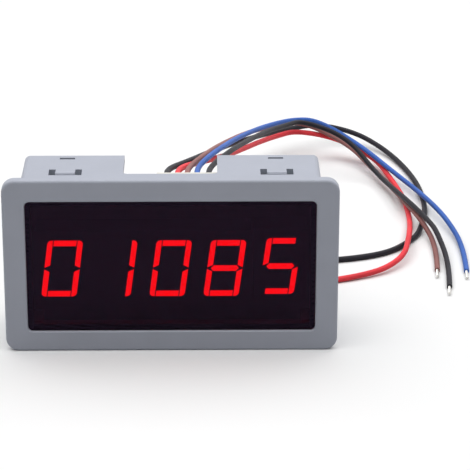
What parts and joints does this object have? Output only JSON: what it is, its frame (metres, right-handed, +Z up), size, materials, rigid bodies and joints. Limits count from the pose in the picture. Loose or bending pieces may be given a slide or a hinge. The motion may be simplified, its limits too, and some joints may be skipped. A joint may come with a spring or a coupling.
{
  "type": "digital tachometer",
  "caption": "Panel-mounting digital tachometer with a snap-in grey case, a smoked window over red LED digits, and a plug with loose leads at the back.",
  "frame": {"origin": "under the middle of the case: on its lowest face, half-way across its width and depth", "axes": "+X to the right seen from the front, +Y from the front face to the open back, +Z up"},
  "size_m": [0.1168, 0.1553, 0.043],
  "materials": {
    "grey_plastic": "fine moulded texture",
    "smoked_acrylic": "polished, dark red tint",
    "display_plastic": "smooth",
    "lit_red": "glowing",
    "unlit_red": "smooth",
    "tinned_metal": "bright tin",
    "solder": "satin",
    "board": "green solder mask",
    "white_nylon": "satin",
    "package_black": "fine matt",
    "can_aluminium": "satin",
    "can_steel": "satin",
    "ceramic_tan": "smooth",
    "insulation_black": "satin",
    "insulation_red": "satin",
    "insulation_brown": "satin",
    "insulation_blue": "satin"
  },
  "bodies": {
    "root": {"housing": "grey_plastic", "window_pane": "smoked_acrylic", "display_4_digit": "display_plastic", "display_1_digit": "display_plastic", "lit_segments_4_digit": "lit_red", "lit_segments_1_digit": "lit_red", "unlit_segments_4_digit": "unlit_red", "unlit_segments_1_digit": "unlit_red", "display_pins": "tinned_metal", "header_pins": "tinned_metal", "display_solder": "solder", "header_solder": "solder", "circuit_board": "board", "header_shroud": "white_nylon", "plug_housing": "white_nylon", "crimp_contacts": "tinned_metal", "microcontroller": "package_black", "microcontroller_legs": "tinned_metal", "segment_driver": "package_black", "segment_driver_legs": "tinned_metal", "voltage_regulator": "package_black", "regulator_tab_and_legs": "tinned_metal", "protection_diode": "package_black", "diode_terminals": "tinned_metal", "capacitor_base": "package_black", "capacitor_can": "can_aluminium", "crystal": "can_steel", "digit_transistors": "package_black", "transistor_legs": "tinned_metal", "chip_resistors": "package_black", "chip_capacitors": "ceramic_tan", "chip_part_ends": "tinned_metal", "lead_black_supply": "insulation_black", "lead_red_supply": "insulation_red", "lead_brown_sensor": "insulation_brown", "lead_blue_sensor": "insulation_blue", "lead_black_signal": "insulation_black", "bare_end_black_supply": "tinned_metal", "bare_end_red_supply": "tinned_metal", "bare_end_brown_sensor": "tinned_metal", "bare_end_blue_sensor": "tinned_metal", "bare_end_black_signal": "tinned_metal"}
  },
  "joints": []
}
